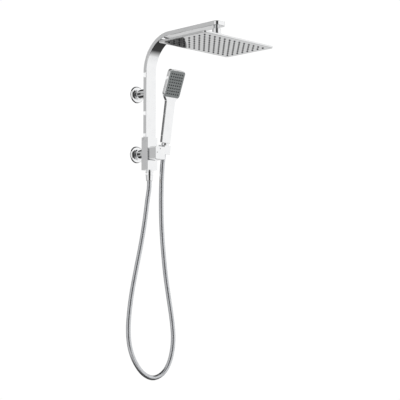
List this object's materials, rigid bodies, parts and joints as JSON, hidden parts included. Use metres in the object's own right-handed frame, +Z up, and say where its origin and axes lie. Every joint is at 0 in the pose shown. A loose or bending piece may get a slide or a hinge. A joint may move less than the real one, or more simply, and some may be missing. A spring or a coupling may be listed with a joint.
{
  "type": "rainfall shower column",
  "caption": "Wall-hung chrome shower column: flat riser swept into an arm, thin rectangular rain head on a ball swivel, square diverter knob, bar hand shower in a cradle and a looped hose.",
  "frame": {"origin": "on the water inlet's axis at the wall face", "axes": "+Z up along the riser, +Y into the wall along the inlet's axis, +X to the right of someone facing the wall"},
  "size_m": [0.3, 0.4795, 1.0851],
  "materials": {
    "chrome": "polished chrome plate on brass",
    "polished_steel": "mirror polished stainless sheet",
    "brass": "machined brass",
    "steel_fastener": "plain machined steel",
    "black_rubber": "moulded sealing rubber",
    "nozzle_silicone": "soft dark silicone",
    "ceramic": "lapped ceramic",
    "seat_plastic": "moulded acetal",
    "grey_face": "satin grey moulded face",
    "silver_hose": "smooth silver foil hose under clear vinyl"
  },
  "bodies": {
    "root": {"riser_tube": "chrome", "riser_foot": "chrome", "riser_spigot": "brass", "spigot_seals": "black_rubber", "riser_boss": "brass", "arm_nipple": "brass", "swivel_ball": "chrome", "swivel_seal": "black_rubber", "diverter_block": "chrome", "cartridge_housing": "seat_plastic", "fixed_disc": "ceramic", "spindle_seal": "black_rubber", "cartridge_nut": "brass", "outlet_nipple": "chrome", "inlet_tube": "brass", "inlet_seal": "black_rubber", "inlet_sleeve": "chrome", "inlet_cover": "chrome", "inlet_washer": "black_rubber", "inlet_filter": "black_rubber", "check_valve": "seat_plastic", "bracket_core": "brass", "bracket_sleeve": "chrome", "bracket_cover": "chrome", "hanger_bolt": "steel_fastener", "grub_screws": "steel_fastener", "cradle": "chrome", "cradle_liner": "seat_plastic", "cradle_stud": "brass", "hose": "silver_hose", "lower_nut": "chrome", "hose_ferrules": "brass", "lower_washer": "black_rubber"},
    "diverter": {"moving_disc": "ceramic", "spindle": "brass", "knob": "chrome", "knob_screw": "steel_fastener"},
    "lower_seat": {"lower_ball_seat": "seat_plastic"},
    "upper_seat": {"upper_ball_seat": "seat_plastic"},
    "head": {"head_socket": "chrome", "ball_nut": "chrome", "head_shell": "polished_steel", "spray_plate": "polished_steel", "nozzle_mat": "nozzle_silicone", "head_rivets": "chrome", "head_filter": "black_rubber"},
    "hose_end": {"upper_nut": "chrome", "upper_ferrule": "brass"},
    "handset": {"handset_back": "chrome", "handset_front": "chrome", "handset_face": "grey_face", "handset_nozzles": "nozzle_silicone", "handset_tube": "seat_plastic", "handset_spigot": "brass", "flow_limiter": "seat_plastic", "handset_clips": "seat_plastic", "upper_washer": "black_rubber"}
  },
  "joints": [
    {"name": "diverter_turn", "type": "hinge", "parent": "root", "child": "diverter", "pos_m": [0, -0.09, -0.002], "axis": [0, 1, 0], "range_deg": [0, 90]},
    {"name": "head_tilt", "type": "hinge", "parent": "root", "child": "lower_seat", "pos_m": [0, -0.357, 0.321], "axis": [1, 0, 0], "range_deg": [-10, 10]},
    {"name": "head_roll", "type": "hinge", "parent": "lower_seat", "child": "upper_seat", "pos_m": [0, -0.357, 0.321], "axis": [0, 1, 0], "range_deg": [-10, 10]},
    {"name": "head_turn", "type": "hinge", "parent": "upper_seat", "child": "head", "pos_m": [0, -0.357, 0.321], "axis": [0, 0, 1], "continuous": true},
    {"name": "handset_lift", "type": "slide", "parent": "root", "child": "hose_end", "axis": [0, -0.165, 0.9863], "range_m": [0, 0.04]},
    {"name": "handset_turn", "type": "hinge", "parent": "hose_end", "child": "handset", "pos_m": [0.045, -0.081, 0.004], "axis": [0, -0.165, 0.9863], "range_deg": [-90, 90]}
  ]
}
